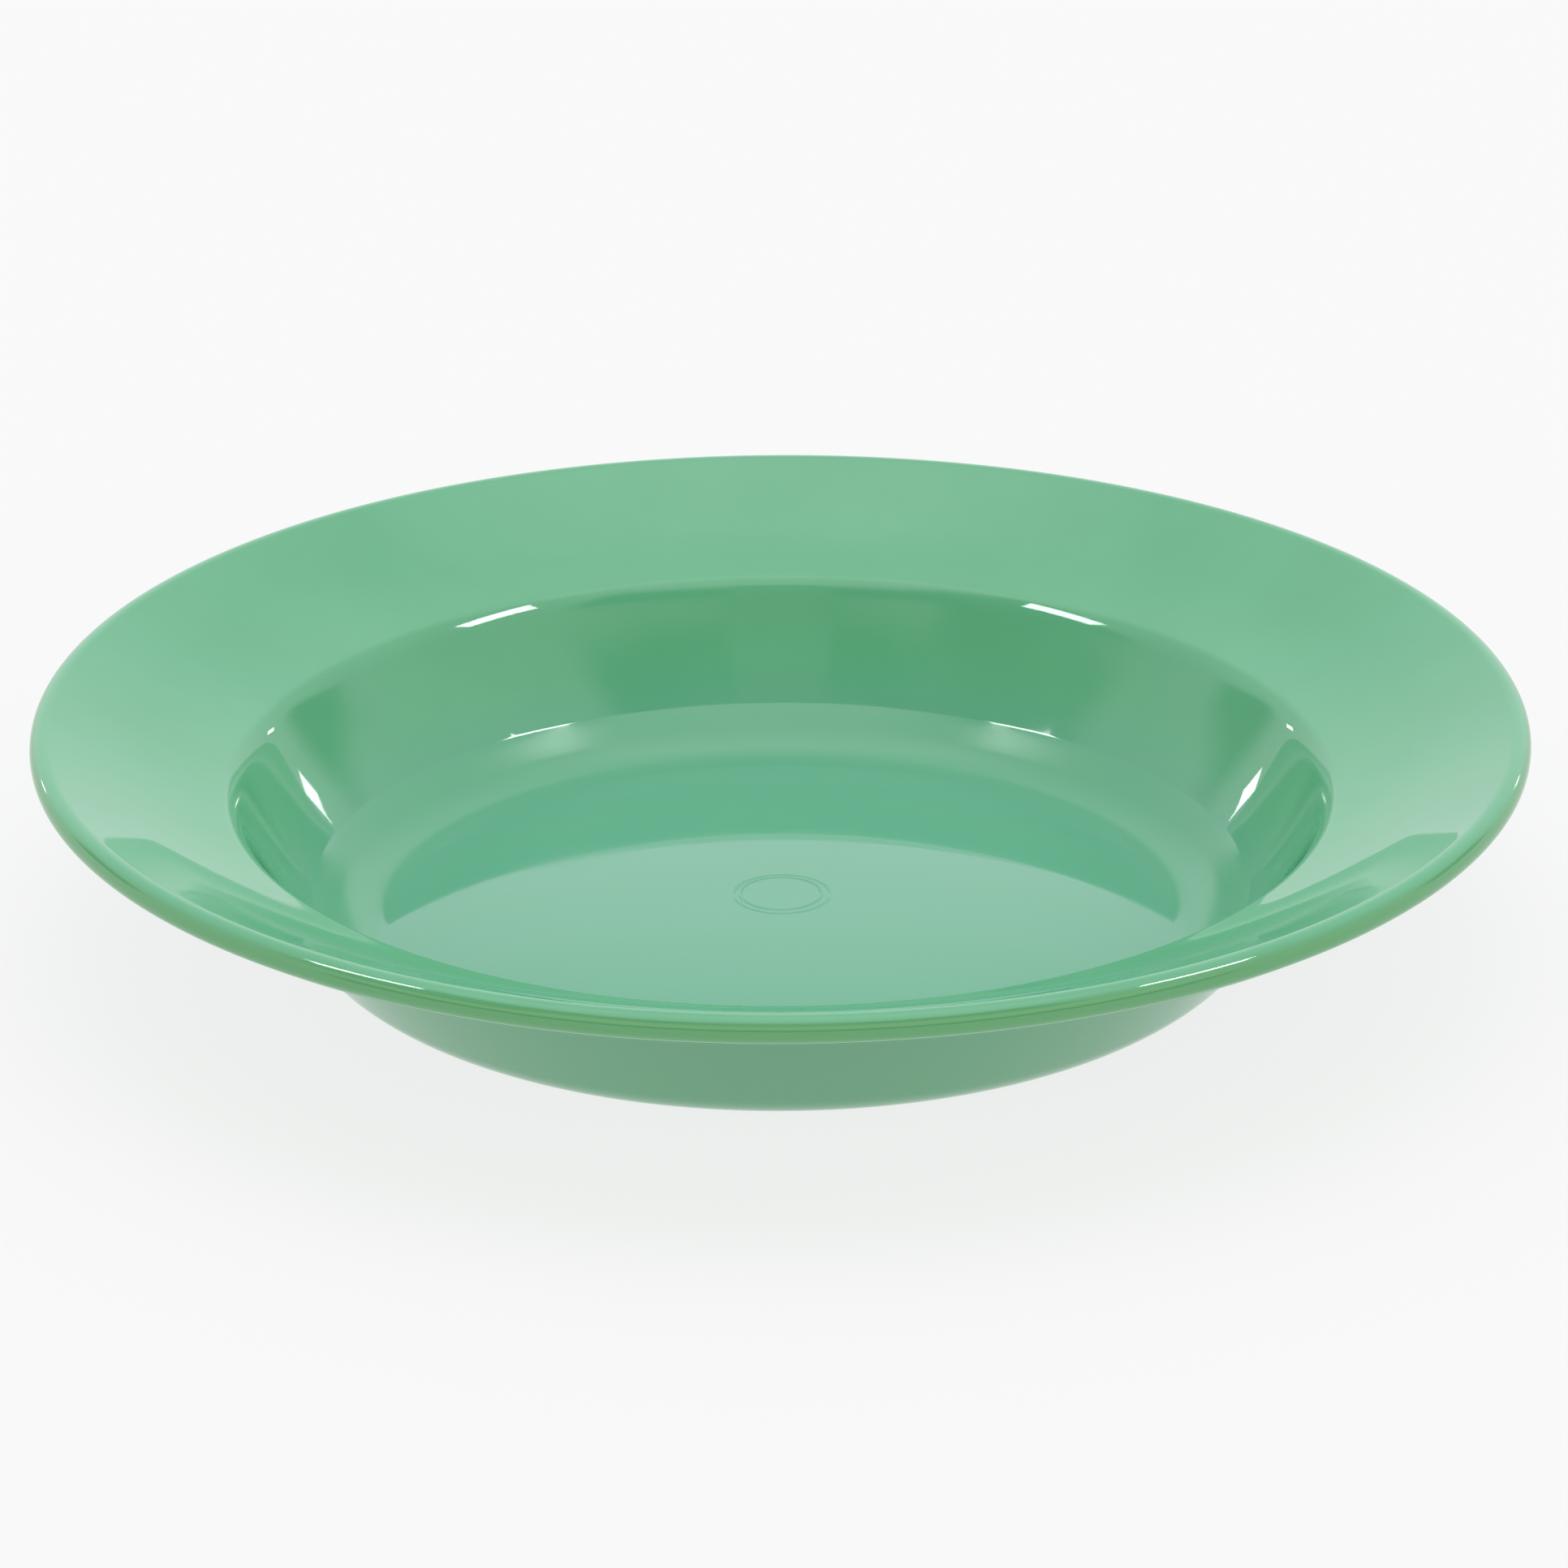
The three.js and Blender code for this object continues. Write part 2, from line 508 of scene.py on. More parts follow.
@dataclass
class Bowl:
    """The moulding: a flat-bottomed well with a wide rim that slopes up to a rounded lip.

    The lip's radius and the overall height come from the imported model. The rest are its own sizes.
    Slopes are in degrees above the horizontal, outwards. A "bend" is where two slopes would meet.

    Attributes:
        outer_radius: Outermost point of the lip.
        height: From the resting face to the crest of the lip.
        finish: What it is made of.
        lip_top_round: Radius of the lip's crest.
        lip_under_round: Radius of the lip's lower edge.
        lip_thickness: From the crest of the lip to its underside.
        bead_width: Width of the small bead under the lip.
        bead_depth: How far that bead hangs down.
        bead_tip_round: Radius of its tip.
        bead_root_round: Radius of its root.
        flange_outer_slope: Slope of the flange beside the lip.
        flange_inner_slope: Slope of the flange beside the shoulder.
        flange_bend_radius: Where those slopes bend.
        flange_dish_round: Radius of the dish between them.
        flange_thickness: Thickness of the flange.
        shoulder_radius: Where the flange meets the brow.
        shoulder_round: Radius of that edge.
        brow_slope: Slope of the narrow brow between the shoulder and the wall.
        brow_foot_radius: Where the brow meets the wall.
        brow_round: Radius between them.
        wall_top_slope: Slope of the wall's inner face at the top.
        wall_foot_slope: Its slope at the foot.
        wall_bend_radius: Where those slopes bend.
        wall_dish_round: Radius of the dish between them.
        wall_thickness: Thickness of the wall at the shoulder.
        outer_wall_slope: Slope of the wall's outer face.
        floor_height: Top of the floor at the middle, where it is highest.
        floor_thickness: Thickness of the floor.
        floor_bend_radius: Where the floor begins to fall.
        floor_fall: How steeply it falls.
        floor_dome_round: Radius of its dome.
        cove_radius: Where the wall meets the cove.
        cove_slope: Slope of the cove.
        cove_round: Radius between the wall and the cove.
        floor_round: Radius between the cove and the floor.
        base_radius: Lowest point of the round under the wall.
        base_round: Radius of that round.
        foot_outer_radius: Outer edge of the foot ring.
        foot_width: Width of the foot ring.
        foot_height: How far the foot ring stands below the base.
        foot_round: Radius of the foot ring's outer edge.
        foot_root_round: Radius of its inner edge and of its roots.
        turn_segments: Steps round the axis.
        arc_step: Largest turn between two points of an arc, in degrees.
        longest_step: Longest step along the section.
        witness_reach: Radius inside which the floor is divided finely.
        witness_step: Step of that fine division.
    """

    outer_radius: float
    height: float
    finish: GlossyPlastic = field(default_factory=GlossyPlastic)
    lip_top_round: float = 2.2 * MM
    lip_under_round: float = 1.9 * MM
    lip_thickness: float = 4.2 * MM
    bead_width: float = 0.8 * MM
    bead_depth: float = 0.5 * MM
    bead_tip_round: float = 0.22 * MM
    bead_root_round: float = 0.1 * MM
    flange_outer_slope: float = 25.5
    flange_inner_slope: float = 16.5
    flange_bend_radius: float = 95.0 * MM
    flange_dish_round: float = 84.0 * MM
    flange_thickness: float = 3.0 * MM
    shoulder_radius: float = 85.3 * MM
    shoulder_round: float = 2.5 * MM
    brow_slope: float = 44.0
    brow_foot_radius: float = 83.9 * MM
    brow_round: float = 10.0 * MM
    wall_top_slope: float = 58.0
    wall_foot_slope: float = 51.0
    wall_bend_radius: float = 78.6 * MM
    wall_dish_round: float = 110.0 * MM
    wall_thickness: float = 3.0 * MM
    outer_wall_slope: float = 56.0
    floor_height: float = 5.6 * MM
    floor_thickness: float = 2.1 * MM
    floor_bend_radius: float = 33.0 * MM
    floor_fall: float = 7.0
    floor_dome_round: float = 460.0 * MM
    cove_radius: float = 72.6 * MM
    cove_slope: float = 43.0
    cove_round: float = 3.0 * MM
    floor_round: float = 10.0 * MM
    base_radius: float = 66.5 * MM
    base_round: float = 10.0 * MM
    foot_outer_radius: float = 63.0 * MM
    foot_width: float = 4.0 * MM
    foot_height: float = 0.7 * MM
    foot_round: float = 0.5 * MM
    foot_root_round: float = 0.3 * MM
    turn_segments: int = 384
    arc_step: float = 3.0
    longest_step: float = 1.6 * MM
    witness_reach: float = 9.0 * MM
    witness_step: float = 0.12 * MM

    def corners(self) -> list[Corner]:
        """Works out the half section's corners.

        Returns:
            The corners, from the axis under the floor, out round the lip and back to the axis.
        """
        slope = math.radians(self.flange_outer_slope)
        crest_radius = self.outer_radius - self.lip_top_round * (1 + math.sin(slope))
        crest_height = self.height - self.lip_top_round * (1 - math.cos(slope))
        outer_flange = Slope(crest_radius, crest_height, self.flange_outer_slope)
        bend_height = outer_flange.height_at(self.flange_bend_radius)
        inner_flange = Slope(self.flange_bend_radius, bend_height, self.flange_inner_slope)
        shoulder_height = inner_flange.height_at(self.shoulder_radius)
        brow = Slope(self.shoulder_radius, shoulder_height, self.brow_slope)
        brow_foot_height = brow.height_at(self.brow_foot_radius)
        upper_wall = Slope(self.brow_foot_radius, brow_foot_height, self.wall_top_slope)
        wall_bend_height = upper_wall.height_at(self.wall_bend_radius)
        lower_wall = Slope(self.wall_bend_radius, wall_bend_height, self.wall_foot_slope)
        thickness = self.flange_thickness / math.cos(slope)
        under_outer = Slope(crest_radius, crest_height - thickness, self.flange_outer_slope)
        under_bend_height = under_outer.height_at(self.flange_bend_radius)
        under_inner = Slope(self.flange_bend_radius, under_bend_height, self.flange_inner_slope)
        cove_height = lower_wall.height_at(self.cove_radius)
        cove = Slope(self.cove_radius, cove_height, self.cove_slope)
        floor = Slope(self.floor_bend_radius, self.floor_height, -self.floor_fall)
        under_floor_height = self.floor_height - self.floor_thickness
        under_floor = Slope(self.floor_bend_radius, under_floor_height, -self.floor_fall)
        outer_slope = math.radians(self.outer_wall_slope)
        outer_wall = Slope(
            self.base_radius + self.base_round * math.sin(outer_slope),
            self.foot_height + self.base_round * (1 - math.cos(outer_slope)),
            self.outer_wall_slope,
        )
        under_shoulder = outer_wall.crossing(under_inner)
        lip_under = self.height - self.lip_thickness
        foot_inner_radius = self.foot_outer_radius - self.foot_width
        return [
            Corner(0.0, under_floor_height),
            Corner(self.floor_bend_radius, under_floor_height, self.floor_dome_round),
            Corner(foot_inner_radius, under_floor.height_at(foot_inner_radius), self.foot_root_round),
            Corner(foot_inner_radius, 0.0, self.foot_root_round),
            Corner(self.foot_outer_radius, 0.0, self.foot_round),
            Corner(self.foot_outer_radius, self.foot_height, self.foot_root_round),
            Corner(outer_wall.radius_at(self.foot_height), self.foot_height, self.base_round),
            Corner(*under_shoulder, self.shoulder_round + self.wall_thickness),
            Corner(self.flange_bend_radius, under_bend_height, self.flange_dish_round),
            Corner(under_outer.radius_at(lip_under), lip_under, self.lip_under_round),
            *self._drip_bead(lip_under),
            Corner(self.outer_radius, lip_under, self.lip_under_round),
            Corner(self.outer_radius, outer_flange.height_at(self.outer_radius), self.lip_top_round),
            Corner(self.flange_bend_radius, bend_height, self.flange_dish_round),
            Corner(self.shoulder_radius, shoulder_height, self.shoulder_round),
            Corner(self.brow_foot_radius, brow_foot_height, self.brow_round),
            Corner(self.wall_bend_radius, wall_bend_height, self.wall_dish_round),
            Corner(self.cove_radius, cove_height, self.cove_round),
            Corner(*cove.crossing(floor), self.floor_round),
            Corner(self.floor_bend_radius, self.floor_height, self.floor_dome_round),
            Corner(0.0, self.floor_height),
        ]

    def _drip_bead(self, underside: float) -> list[Corner]:
        """Works out the small bead that runs round under the lip.

        Args:
            underside: Height of the lip's underside.

        Returns:
            The bead's corners, from its inner side out.
        """
        outer = self.outer_radius - self.lip_under_round - self.bead_root_round
        inner = outer - self.bead_width
        tip = underside - self.bead_depth
        return [
            Corner(inner, underside, self.bead_root_round),
            Corner(inner, tip, self.bead_tip_round),
            Corner(outer, tip, self.bead_tip_round),
            Corner(outer, underside, self.bead_root_round),
        ]

    def _arc(self, before: Corner, corner: Corner, after: Corner) -> list[Vector]:
        """Rounds one corner.

        Args:
            before: The corner before it.
            corner: The corner to round.
            after: The corner after it.

        Returns:
            Points along the arc.
        """
        back = (before.at - corner.at).normalized()
        onward = (after.at - corner.at).normalized()
        half = back.angle(onward) / 2
        centre = corner.at + (back + onward).normalized() * (corner.round / math.sin(half))
        reach = corner.round / math.tan(half)
        start = corner.at + back * reach - centre
        turn = start.angle_signed(corner.at + onward * reach - centre)
        bends = abs(math.degrees(turn)) / self.arc_step
        strides = abs(turn) * corner.round / self.longest_step
        steps = math.ceil(max(bends, strides, 2))
        return [centre + Matrix.Rotation(-turn * step / steps, 2) @ start for step in range(steps + 1)]

    def section(self) -> list[Vector]:
        """Draws the half section as one line of points, close together where it bends.

        Returns:
            Points as (radius, height), from the axis under the floor to the axis above it.
        """
        corners = self.corners()
        bends = [[corners[0].at]]
        for before, corner, after in zip(corners, corners[1:], corners[2:]):
            bends.append(self._arc(before, corner, after) if corner.round else [corner.at])
        bends.append([corners[-1].at])
        points: list[Vector] = []
        for bend, following in pairwise(bends):
            points += bend
            points += self._divide(bend[-1], following[0], self.longest_step)
        points += bends[-1]
        return self._refined(points)

    def _refined(self, points: list[Vector]) -> list[Vector]:
        """Divides the steps near the axis of the well finely, for the witness rings.

        Args:
            points: The whole section.

        Returns:
            The section with more points at its end.
        """
        middle = len(points) // 2
        refined = points[: middle + 1]
        for start, end in pairwise(points[middle:]):
            if end.x < self.witness_reach:
                refined += self._divide(start, end, self.witness_step)
            refined.append(end)
        return refined

    @staticmethod
    def _divide(start: Vector, end: Vector, step: float) -> list[Vector]:
        """Divides a straight stretch evenly, leaving out its ends."""
        count = max(1, math.ceil((end - start).length / step))
        return [start.lerp(end, index / count) for index in range(1, count)]

    def profile_mesh(self) -> bpy.types.Mesh:
        """Makes the half section a mesh of edges in the XZ plane.

        Returns:
            The new mesh, with its points in order.
        """
        points = self.section()
        mesh = bpy.data.meshes.new("bowl_section")
        mesh.from_pydata([(p.x, 0.0, p.y) for p in points], list(pairwise(range(len(points)))), [])
        return mesh

    def build(self) -> bpy.types.Object:
        """Turns the section into the moulding, dresses it and hangs it on the frame.

        Returns:
            The finished piece.
        """
        turning = TurningTree()
        blank = bpy.data.objects.new("bowl_blank", self.profile_mesh())
        bpy.context.scene.collection.objects.link(blank)
        modifier = blank.modifiers.new("turning", "NODES")
        modifier.node_group = turning.tree
        turning.set_input(modifier, "Turns", self.turn_segments)
        turning.set_input(modifier, "Plastic", self.finish.material())
        turned = blank.evaluated_get(bpy.context.evaluated_depsgraph_get())
        mesh = bpy.data.meshes.new_from_object(turned)
        bpy.data.objects.remove(blank)
        piece = bpy.data.objects.new("bowl_moulding", mesh)
        bpy.context.scene.collection.objects.link(piece)
        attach(piece, BODY)
        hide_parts(BOWL_NODE)
        return piece


@dataclass(frozen=True)
class WitnessRing:
    """A hairline ring in the floor of the well, left by a pin of the mould.

    Attributes:
        radius: Radius of the ring.
        offset: How far its centre is from the bowl's axis, in X and Y.
        depth: Depth of the line.
        width: Half-width of the line.
    """

    radius: float
    offset: tuple[float, float]
    depth: float
    width: float


@dataclass
class TurningTree:
    """Geometry Nodes that turn a half section about Z and press the fine marks into it.

    Attributes:
        rings: The rings to press into the floor.
        ring_height: Heights between which the rings begin to show.
        warp: How far the moulding is warped.
        warp_noise: Shape of that warp.
        rest_height: Height under which nothing is moved, so that the foot ring stays flat.
        weld: Distance under which the seam's and the poles' points are merged.
        tree: The finished node tree.
    """

    rings: tuple[WitnessRing, ...] = (
        WitnessRing(6.3 * MM, (0.0, 0.0), 0.13 * MM, 0.30 * MM),
        WitnessRing(7.5 * MM, (0.15 * MM, -0.25 * MM), 0.10 * MM, 0.30 * MM),
    )
    ring_height: tuple[float, float] = (4.0 * MM, 5.0 * MM)
    warp: float = 0.02 * MM
    warp_noise: Noise = Noise(28.0, 0.0)
    rest_height: float = 0.6 * MM
    weld: float = 0.001 * MM
    tree: bpy.types.NodeTree = field(init=False)

    def __post_init__(self) -> None:
        """Builds the tree."""
        self.tree = bpy.data.node_groups.new("turn_about_axis", "GeometryNodeTree")
        face = self.tree.interface
        face.new_socket("Section", in_out="INPUT", socket_type="NodeSocketGeometry")
        face.new_socket("Turns", in_out="INPUT", socket_type="NodeSocketInt")
        face.new_socket("Plastic", in_out="INPUT", socket_type="NodeSocketMaterial")
        warp = face.new_socket("Warp", in_out="INPUT", socket_type="NodeSocketFloat")
        warp.default_value = self.warp
        face.new_socket("Moulding", in_out="OUTPUT", socket_type="NodeSocketGeometry")
        nodes = Nodes(self.tree)
        given = nodes.add("NodeGroupInput").outputs
        turned = self._turn(nodes, given)
        pressed = self._press(nodes, turned, given["Warp"])
        smooth = nodes.add("GeometryNodeSetShadeSmooth", {"Geometry": pressed}).outputs[0]
        real = nodes.add("GeometryNodeRealizeInstances", {"Geometry": smooth}).outputs[0]
        dressed = nodes.add("GeometryNodeSetMaterial", {"Geometry": real, "Material": given["Plastic"]})
        nodes.add("NodeGroupOutput", {0: dressed.outputs[0]})

    def set_input(self, modifier: bpy.types.NodesModifier, name: str, value: object) -> None:
        """Sets one of the modifier's inputs.

        Args:
            modifier: The modifier that uses this tree.
            name: Name of the input.
            value: Its value.
        """
        for item in self.tree.interface.items_tree:
            if item.name == name and item.in_out == "INPUT":
                modifier[item.identifier] = value

    def _turn(self, nodes: Nodes, given: bpy.types.bpy_prop_collection) -> bpy.types.NodeSocket:
        """Bends a grid round the axis, with the section as its other way.

        Args:
            nodes: The tree's node maker.
            given: The tree's inputs.

        Returns:
            The welded mesh's output socket.
        """
        count = nodes.add("GeometryNodeAttributeDomainSize", {0: given["Section"]}).outputs["Point Count"]
        columns = nodes.math("ADD", given["Turns"], 1.0)
        grid = nodes.add("GeometryNodeMeshGrid", {"Vertices X": columns, "Vertices Y": count})
        index = nodes.add("GeometryNodeInputIndex").outputs[0]
        row = nodes.math("MODULO", index, count)
        # The half keeps the division clear of a whole number, where rounding could drop a column.
        column = nodes.math("FLOOR", nodes.math("DIVIDE", nodes.math("ADD", index, 0.5), count))
        angle = nodes.math("MULTIPLY", nodes.math("DIVIDE", column, given["Turns"]), math.tau)
        sampled = nodes.add(
            "GeometryNodeSampleIndex",
            {"Geometry": given["Section"], "Index": row},
            data_type="FLOAT_VECTOR",
        )
        place = nodes.add("GeometryNodeInputPosition").outputs[0]
        nodes.tree.links.new(place, sampled.inputs["Value"])
        part = nodes.split(sampled.outputs[0])
        along = nodes.math("MULTIPLY", part["X"], nodes.math("COSINE", angle))
        across = nodes.math("MULTIPLY", part["X"], nodes.math("SINE", angle))
        point = nodes.add("ShaderNodeCombineXYZ", {"X": along, "Y": across, "Z": part["Z"]}).outputs[0]
        placed = {"Geometry": grid.outputs["Mesh"], "Position": point}
        bent = nodes.add("GeometryNodeSetPosition", placed).outputs[0]
        return nodes.add("GeometryNodeMergeByDistance", {"Geometry": bent, "Distance": self.weld}).outputs[0]

    def _press(
        self, nodes: Nodes, mesh: bpy.types.NodeSocket, warp: bpy.types.NodeSocket
    ) -> bpy.types.NodeSocket:
        """Sinks the witness rings into the floor and warps the moulding a hair.

        Args:
            nodes: The tree's node maker.
            mesh: The turned mesh.
            warp: How far the warp moves a point.

        Returns:
            The marked mesh's output socket.
        """
        place = nodes.add("GeometryNodeInputPosition").outputs[0]
        part = nodes.split(place)
        noise = self.warp_noise.add(nodes, place)
        sink = nodes.math("MULTIPLY", nodes.math("SUBTRACT", noise, 1.0), warp)
        inside = nodes.ramp(part["Z"], *self.ring_height, 0.0, 1.0)
        for ring in self.rings:
            across = nodes.math("SUBTRACT", part["X"], ring.offset[0])
            along = nodes.math("SUBTRACT", part["Y"], ring.offset[1])
            square = nodes.math("ADD", nodes.math("POWER", across, 2.0), nodes.math("POWER", along, 2.0))
            reach = nodes.math("SQRT", square)
            off = nodes.math("ABSOLUTE", nodes.math("SUBTRACT", reach, ring.radius))
            dip = nodes.ramp(off, 0.0, ring.width, -ring.depth, 0.0)
            sink = nodes.math("ADD", sink, nodes.math("MULTIPLY", dip, inside))
        offset = nodes.add("ShaderNodeCombineXYZ", {"Z": sink}).outputs[0]
        heights = {0: part["Z"], 1: self.rest_height}
        free = nodes.add("FunctionNodeCompare", heights, data_type="FLOAT", operation="GREATER_THAN")
        moves = {"Geometry": mesh, "Selection": free.outputs[0], "Offset": offset}
        return nodes.add("GeometryNodeSetPosition", moves).outputs[0]


@dataclass(frozen=True)
class Card:
    """A flat sheet of light that shows as a highlight. The tent does the rest of the lighting.

    Attributes:
        name: Name of the light.
        centre: Where its middle is.
        aim: The point that it faces.
        size: Its width and its height.
        radiance: How bright it is, where 1 is paper white.
        roll: How far it is turned in its own plane, in degrees.
        bounces: How many reflections it is seen through.
    """

    name: str
    centre: tuple[float, float, float]
    aim: tuple[float, float, float]
    size: tuple[float, float]
    radiance: float
    roll: float = 0.0
    bounces: int = 1

    def build(self) -> bpy.types.Object:
        """Hangs the light.

        Returns:
            The light.
        """
        data = bpy.data.lights.new(self.name, "AREA")
        data.shape = "RECTANGLE"
        data.size, data.size_y = self.size
        data.energy = self.radiance * math.pi * self.size[0] * self.size[1]
        data.cycles.max_bounces = self.bounces
        light = bpy.data.objects.new(self.name, data)
        light.location = self.centre
        facing = (Vector(self.aim) - Vector(self.centre)).to_track_quat("-Z", "Y").to_matrix()
        light.rotation_euler = (facing @ Matrix.Rotation(math.radians(self.roll), 3, "Z")).to_euler()
        light.visible_camera = False
        light.visible_diffuse = False
        bpy.context.scene.collection.objects.link(light)
        return light


@dataclass(frozen=True)
class Patch:
    """A part of the white tent round the bowl that is brighter or darker than the rest.

    Angles are in degrees: azimuth from the back, to either side, and elevation from the floor.

    Attributes:
        name: What makes it.
        azimuth: Where it begins and ends round the bowl.
        elevation: Where it begins and ends above the floor.
        soft: Width of its soft edge.
        level: Radiance, where 1 is paper white.
        side: The only side that it is on, or None for both.
        side_blend: How far across it fades in, where it is on one side only.
    """

    name: str
    azimuth: tuple[float, float]
    elevation: tuple[float, float]
    soft: float
    level: float
    side: Side | None = None
    side_blend: float = 0.2

    def over(
        self,
        nodes: Nodes,
        across: bpy.types.NodeSocket,
        azimuth: bpy.types.NodeSocket,
        elevation: bpy.types.NodeSocket,
        under: Value,
    ) -> bpy.types.NodeSocket:
        """Lays the patch over the radiance there so far.

        Args:
            nodes: The tent's node maker.
            across: X of the direction looked in.
            azimuth: Azimuth of that direction.
            elevation: Its elevation.
            under: Radiance before the patch, as a number or an output socket.

        Returns:
            The radiance with the patch.
        """
        cover: Value = 1.0
        for angle, (start, end) in ((azimuth, self.azimuth), (elevation, self.elevation)):
            rising = nodes.ramp(angle, start - self.soft, start + self.soft, 0.0, 1.0)
            falling = nodes.ramp(angle, end - self.soft, end + self.soft, 1.0, 0.0)
            cover = nodes.math("MULTIPLY", cover, nodes.math("MULTIPLY", rising, falling))
        if self.side is not None:
            outward = nodes.math("MULTIPLY", across, self.side.value)
            cover = nodes.math("MULTIPLY", cover, nodes.ramp(outward, 0.0, self.side_blend, 0.0, 1.0))
        lift = nodes.math("MULTIPLY", nodes.math("SUBTRACT", self.level, under), cover)
        return nodes.math("ADD", under, lift)


@dataclass
class Studio:
    """A white tent on a white floor, with two softboxes over the bowl and two strips beside it.

    Places of lights are given for the right-hand side and mirrored to the left.

    Attributes:
        target: Where the lights point.
        key_place: Where each key softbox hangs.
        key_size: Its width and its height.
        key_radiance: How bright it is, where 1 is paper white.
        key_roll: How far it is turned in its own plane, in degrees.
        strip_place: Where each strip light stands.
        strip_size: Its width and its height.
        strip_radiance: How bright it is.
        floor_size: Width of the floor.
        floor_white: How much light the floor reflects.
        floor_glow: Radiance that the floor adds, so that its shadows stay pale.
        floor_roughness: Roughness of the floor.
        tent: Radiance of the tent where it has no patch.
        cool: Colour of the tent.
        warm: Colour of the tent low down at the front.
        warm_azimuth: Azimuths between which the tent turns warm.
        warm_elevation: Elevations between which it turns cool again.
        patches: The tent's brighter and darker parts, each laid over those before it.
    """

    target: tuple[float, float, float] = (0.0, 0.0, 0.02)
    key_place: tuple[float, float, float] = (0.995, -0.105, 1.25)
    key_size: tuple[float, float] = (0.22, 0.36)
    key_radiance: float = 15.0
    key_roll: float = 34.0
    strip_place: tuple[float, float, float] = (0.75, 0.86, 0.25)
    strip_size: tuple[float, float] = (0.055, 0.05)
    strip_radiance: float = 8.0
    floor_size: float = 12.0
    floor_white: float = 0.14
    floor_glow: float = 0.80
    floor_roughness: float = 0.9
    tent: float = 1.04
    cool: Colour = (0.99, 1.0, 1.03, 1.0)
    warm: Colour = (1.0, 0.98, 0.84, 1.0)
    warm_azimuth: tuple[float, float] = (80.0, 140.0)
    warm_elevation: tuple[float, float] = (30.0, 50.0)
    patches: tuple[Patch, ...] = (
        Patch("bright_roof", (-90.0, 270.0), (62.0, 180.0), 9.0, 1.70),
        Patch("front_fill", (112.0, 270.0), (17.0, 33.0), 6.0, 1.35),
        Patch("bright_back", (-90.0, 38.0), (8.0, 32.0), 7.0, 1.15),
        Patch("dark_front", (112.0, 270.0), (-90.0, 11.0), 5.0, 0.03),
        Patch("roof_gap", (126.0, 270.0), (42.0, 59.0), 6.0, 0.20),
        Patch("room", (166.0, 270.0), (40.0, 62.0), 2.5, 0.45),
        Patch("dark_corner", (92.0, 140.0), (30.0, 60.0), 6.0, 0.30, Side.LEFT),
        Patch("side_gap", (52.0, 70.0), (8.0, 20.0), 4.0, 0.25),
    )

    def cards(self) -> list[Card]:
        """Places the lights.

        Returns:
            The lights of the studio.
        """
        lights = []
        for side in Side:
            name = side.name.lower()
            key = Card(
                f"key_softbox_{name}",
                self._mirrored(self.key_place, side),
                self.target,
                self.key_size,
                self.key_radiance,
                side.value * self.key_roll,
            )
            strip = Card(
                f"strip_light_{name}",
                self._mirrored(self.strip_place, side),
                self.target,
                self.strip_size,
                self.strip_radiance,
            )
            lights += [key, strip]
        return lights

    @staticmethod
    def _mirrored(place: tuple[float, float, float], side: Side) -> tuple[float, float, float]:
        """Moves a place on the right-hand side to either side."""
        return (side.value * place[0], place[1], place[2])

    def _tent(self) -> bpy.types.World:
        """Makes the tent, as light from far away in every direction.

        Returns:
            The new world.
        """
        world = bpy.data.worlds.new("white_tent")
        world.use_nodes = True
        nodes = Nodes(world.node_tree)
        looked = nodes.add("ShaderNodeTexCoord").outputs["Generated"]
        part = nodes.split(looked)
        to_degrees = math.degrees(1.0)
        elevation = nodes.math("MULTIPLY", nodes.math("ARCSINE", part["Z"]), to_degrees)
        turned = nodes.math("ARCTAN2", nodes.math("ABSOLUTE", part["X"]), part["Y"])
        azimuth = nodes.math("MULTIPLY", turned, to_degrees)
        radiance: Value = self.tent
        for patch in self.patches:
            radiance = patch.over(nodes, part["X"], azimuth, elevation, radiance)
        front = nodes.ramp(azimuth, *self.warm_azimuth, 0.0, 1.0)
        low = nodes.ramp(elevation, *self.warm_elevation, 1.0, 0.0)
        colour = nodes.mix(nodes.math("MULTIPLY", front, low), self.cool, self.warm)
        background = world.node_tree.nodes["Background"]
        world.node_tree.links.new(colour, background.inputs["Color"])
        world.node_tree.links.new(radiance, background.inputs["Strength"])
        return world

    def floor(self) -> bpy.types.Object:
        """Lays the floor.

        Returns:
            The floor.
        """
        half = self.floor_size / 2
        mesh = bpy.data.meshes.new("studio_floor")
        corners = [(-half, -half, 0.0), (half, -half, 0.0), (half, half, 0.0), (-half, half, 0.0)]
        mesh.from_pydata(corners, [], [(0, 1, 2, 3)])
        material = bpy.data.materials.new("white_paper")
        material.use_nodes = True
        shader = material.node_tree.nodes["Principled BSDF"]
        shader.inputs["Base Color"].default_value = (self.floor_white,) * 3 + (1.0,)
        shader.inputs["Roughness"].default_value = self.floor_roughness
        shader.inputs["Specular IOR Level"].default_value = 0.0
        shader.inputs["Emission Color"].default_value = (1.0, 1.0, 1.0, 1.0)
        shader.inputs["Emission Strength"].default_value = self.floor_glow
        mesh.materials.append(material)
        floor = bpy.data.objects.new("studio_floor", mesh)
        bpy.context.scene.collection.objects.link(floor)
        return floor

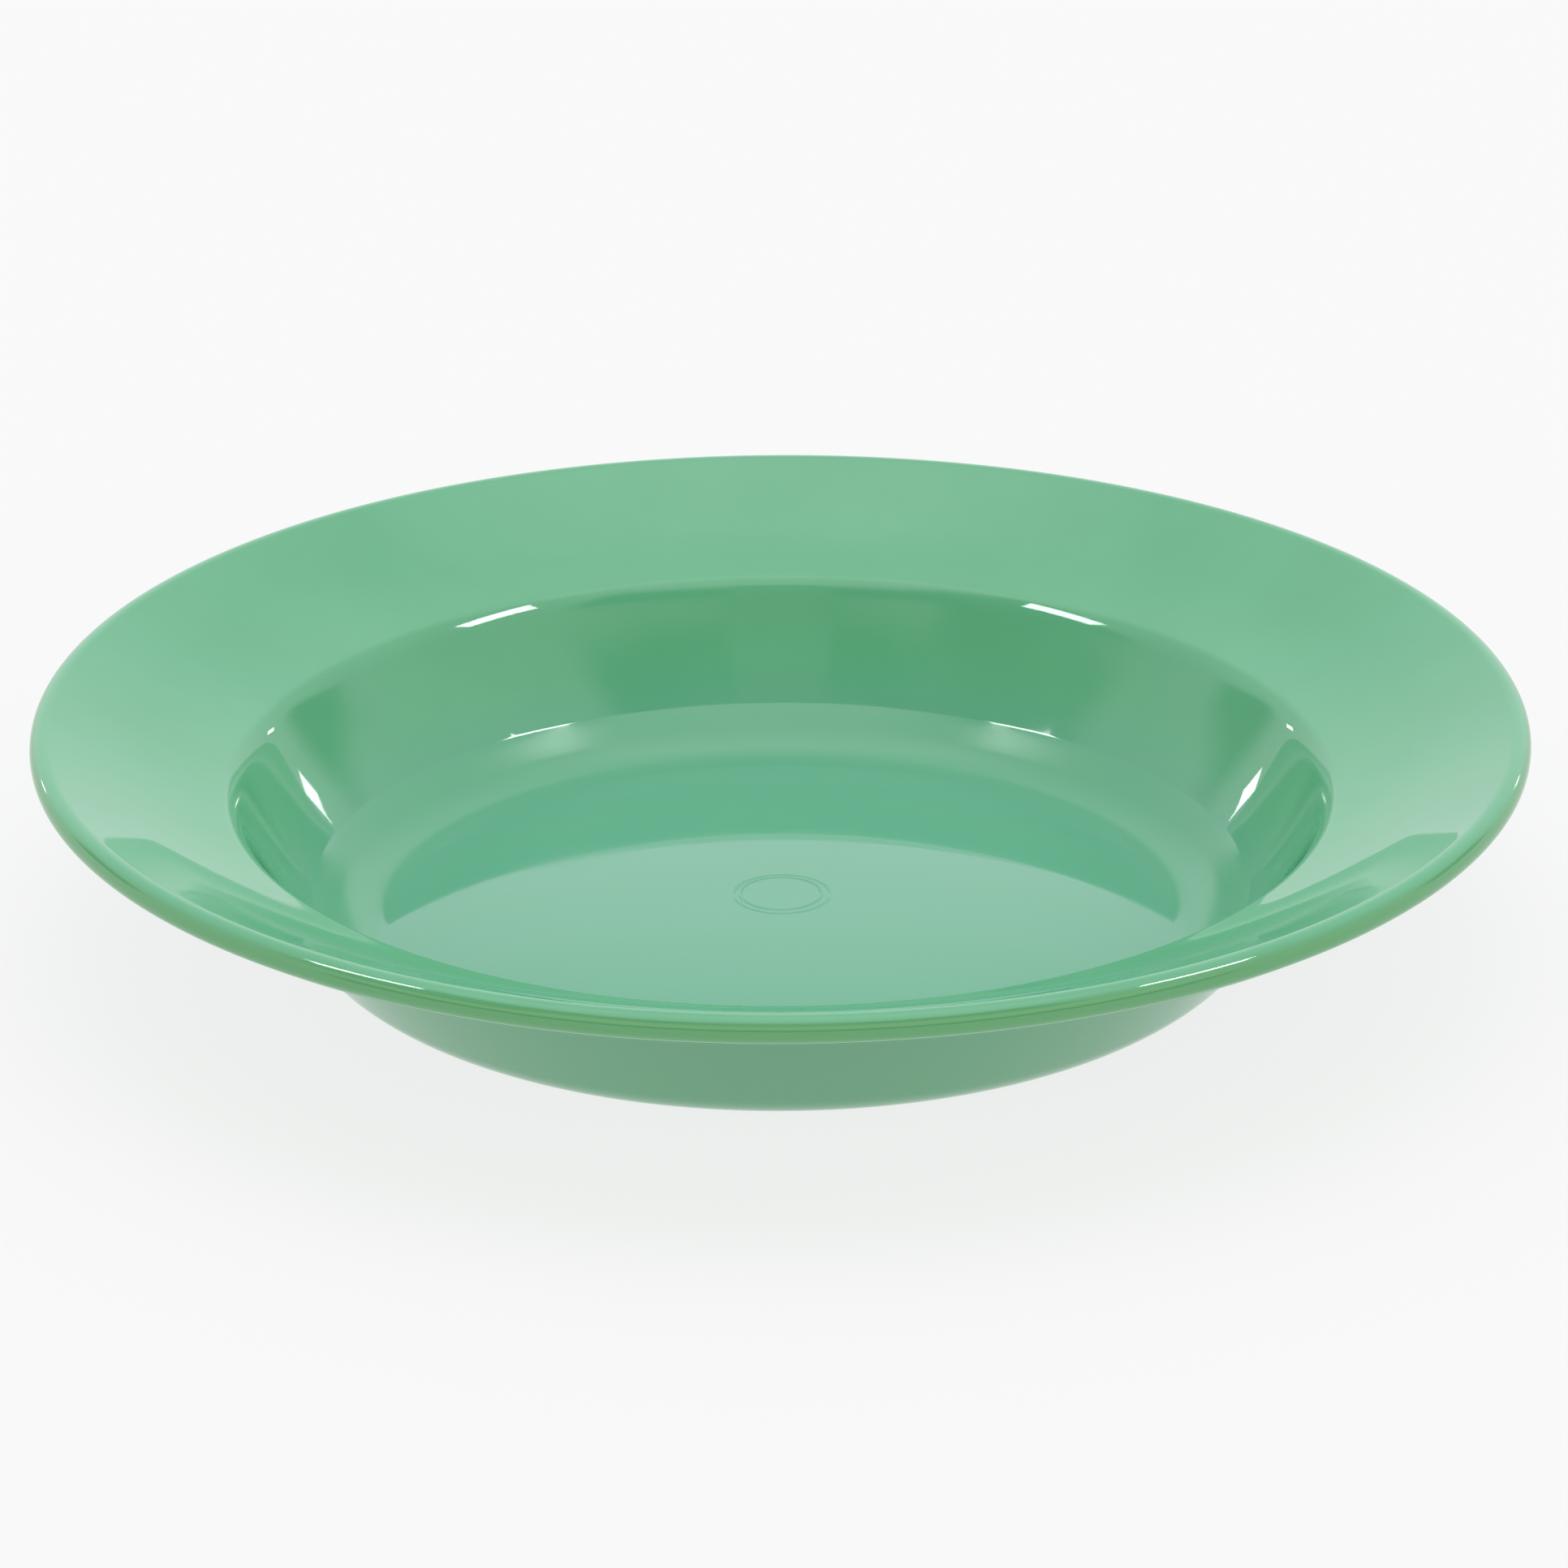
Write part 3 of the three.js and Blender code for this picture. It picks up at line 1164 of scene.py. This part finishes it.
    def build(self) -> None:
        """Lays the floor, hangs the lights and puts the tent round them."""
        self.floor()
        for card in self.cards():
            card.build()
        bpy.context.scene.world = self._tent()
        bpy.context.scene.view_settings.view_transform = "Standard"


@dataclass(frozen=True)
class ProductCamera:
    """A long lens that looks down into the bowl from the front.

    Attributes:
        lip_height: Height of the lip's plane.
        distance: From the middle of the lip's plane.
        elevation: Angle above the lip's plane, in degrees.
        pitch: How far below the middle of the lip's plane it aims, in degrees.
        yaw: How far to the right of it, in degrees.
        roll: How far it is tipped clockwise, in degrees.
        lens: Focal length in millimetres.
        sensor_width: Width of the sensor in millimetres.
        clip_start: Nearest distance that it sees.
    """

    lip_height: float
    distance: float = 1.150
    elevation: float = 22.28
    pitch: float = 0.467
    yaw: float = 0.029
    roll: float = 0.19
    lens: float = 171.7
    sensor_width: float = 36.0
    clip_start: float = 0.01

    def build(self) -> bpy.types.Object:
        """Sets up the camera and makes it the scene's own.

        Returns:
            The camera.
        """
        data = bpy.data.cameras.new("product_camera")
        data.lens = self.lens
        data.sensor_width = self.sensor_width
        data.clip_start = self.clip_start
        camera = bpy.data.objects.new("product_camera", data)
        rise = math.radians(self.elevation)
        place = Vector((0.0, -math.cos(rise), math.sin(rise))) * self.distance
        place.z += self.lip_height
        tilt = math.radians(90.0 - self.elevation - self.pitch)
        aim = Matrix.Rotation(math.radians(-self.yaw), 4, "Z") @ Matrix.Rotation(tilt, 4, "X")
        roll = Matrix.Rotation(math.radians(-self.roll), 4, "Z")
        camera.matrix_world = Matrix.Translation(place) @ aim @ roll
        bpy.context.scene.collection.objects.link(camera)
        bpy.context.scene.camera = camera
        return camera


def main() -> None:
    """Builds the studio, the camera and the bowl from the imported model's box, and logs the bowl's face
    count.
    """
    logging.basicConfig(level=logging.INFO, format="%(name)s: %(message)s")
    low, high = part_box(BOWL_NODE)
    bowl = Bowl(outer_radius=high.x, height=high.z)
    ProductCamera(lip_height=bowl.height - bowl.lip_top_round).build()
    Studio().build()
    piece = bowl.build()
    log.info("%s: %d faces", piece.name, len(piece.data.polygons))


if __name__ == "__main__":
    main()
